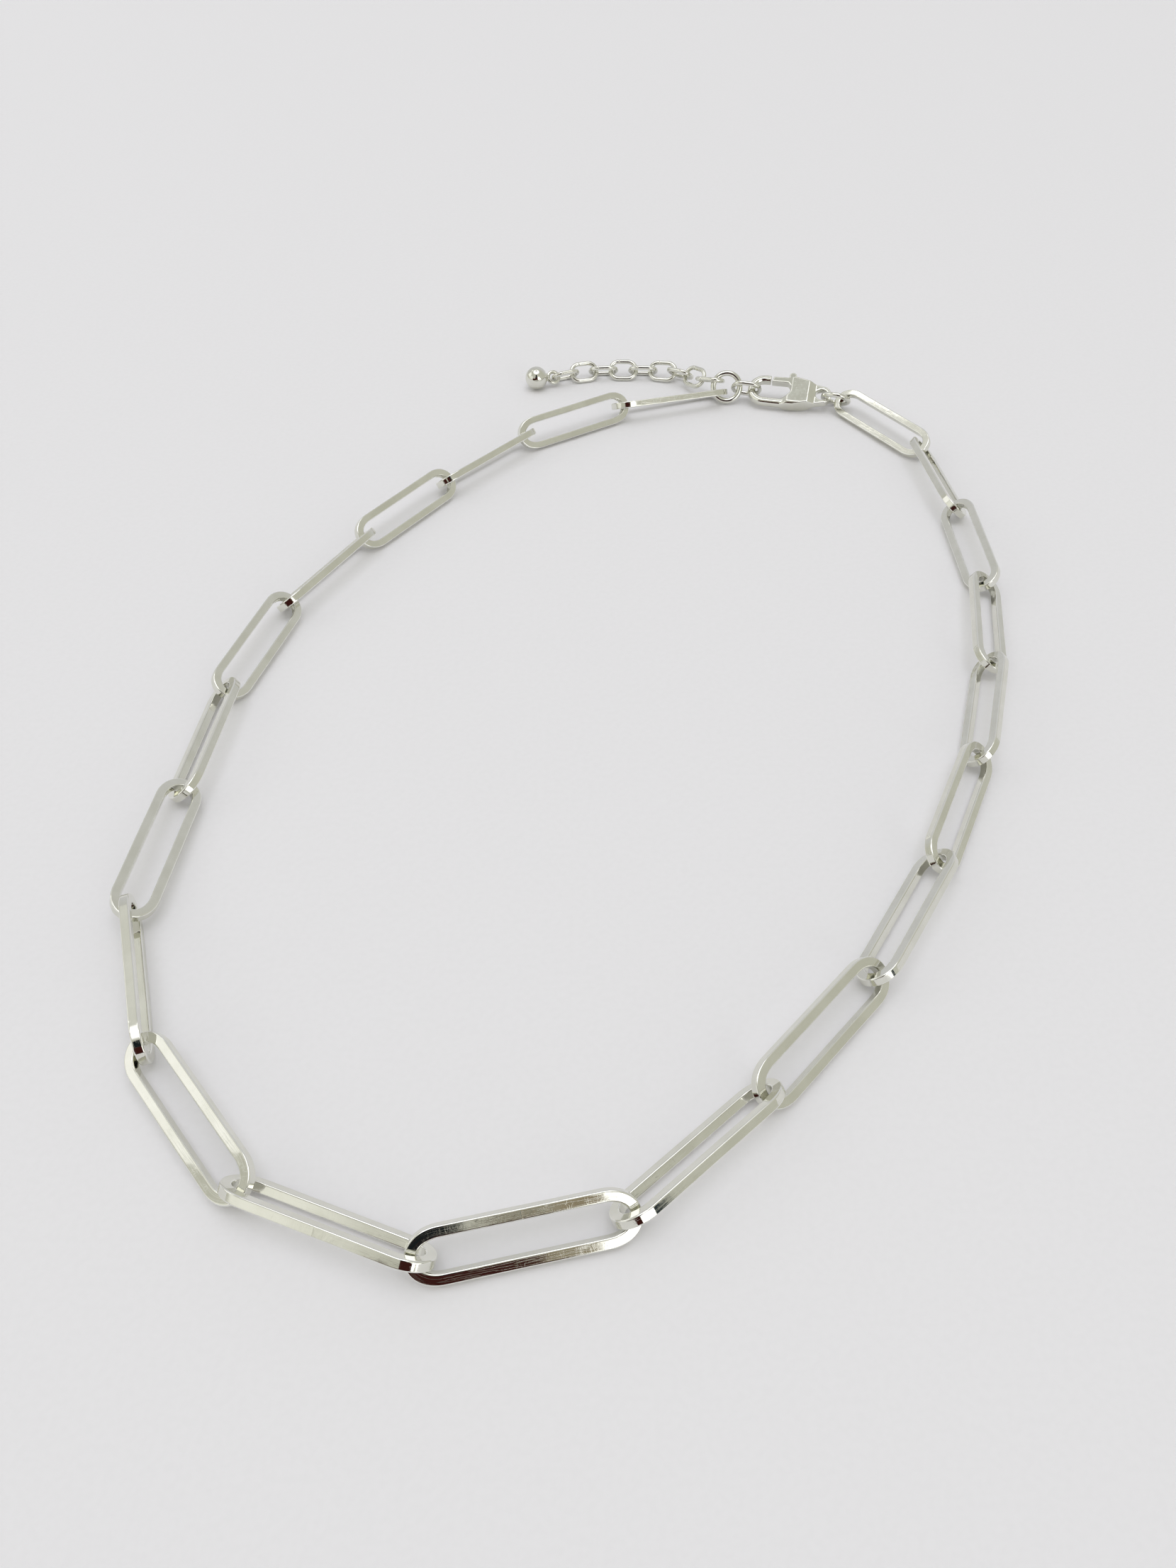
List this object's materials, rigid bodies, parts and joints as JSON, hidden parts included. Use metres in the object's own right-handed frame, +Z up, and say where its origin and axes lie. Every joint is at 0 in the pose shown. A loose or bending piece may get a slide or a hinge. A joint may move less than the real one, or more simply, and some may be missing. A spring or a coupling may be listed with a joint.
{
  "type": "choker necklace",
  "caption": "Choker of long square-wire links with round ends, closed by a lobster clasp, with a fine extender chain and ball drop, lying open on a table.",
  "frame": {"origin": "on the table, under the middle of the whole choker as it lies", "axes": "+Z up; -Y towards the front of the loop, away from the clasp; +X to the right seen from the front"},
  "size_m": [0.102, 0.1526, 0.0048],
  "materials": {
    "link_metal": "bright polished silver-tone plate with fine scratches",
    "small_link_metal": "polished silver-tone plate, drawn round wire",
    "clasp_metal": "polished silver-tone plate over a cast body",
    "lever_metal": "polished silver-tone plate",
    "drop_metal": "bright polished silver-tone plate, turned ball"
  },
  "bodies": {
    "chain": {"link_01": "link_metal", "link_02": "link_metal", "link_03": "link_metal", "link_04": "link_metal", "link_05": "link_metal", "link_06": "link_metal", "link_07": "link_metal", "link_08": "link_metal", "link_09": "link_metal", "link_10": "link_metal", "link_11": "link_metal", "link_12": "link_metal", "link_13": "link_metal", "link_14": "link_metal", "link_15": "link_metal", "link_16": "link_metal", "link_17": "link_metal", "link_18": "link_metal", "link_19": "link_metal", "link_20": "link_metal", "link_21": "link_metal", "end_ring": "small_link_metal", "hook_link": "small_link_metal", "clasp_body": "clasp_metal", "jump_ring": "small_link_metal", "extender_01": "small_link_metal", "extender_02": "small_link_metal", "extender_03": "small_link_metal", "extender_04": "small_link_metal", "extender_05": "small_link_metal", "extender_06": "small_link_metal", "extender_07": "small_link_metal", "extender_08": "small_link_metal", "extender_09": "small_link_metal", "end_drop": "drop_metal"},
    "lever": {"clasp_lever": "lever_metal"}
  },
  "joints": [
    {"name": "lever_swing", "type": "hinge", "parent": "chain", "child": "lever", "pos_m": [0.03007, 0.06641, 0.00246], "axis": [-0.086, -0.4138, 0.9063], "range_deg": [0, 28], "stiffness_Nm_per_rad": 0.002, "springref_deg": -28.65}
  ]
}
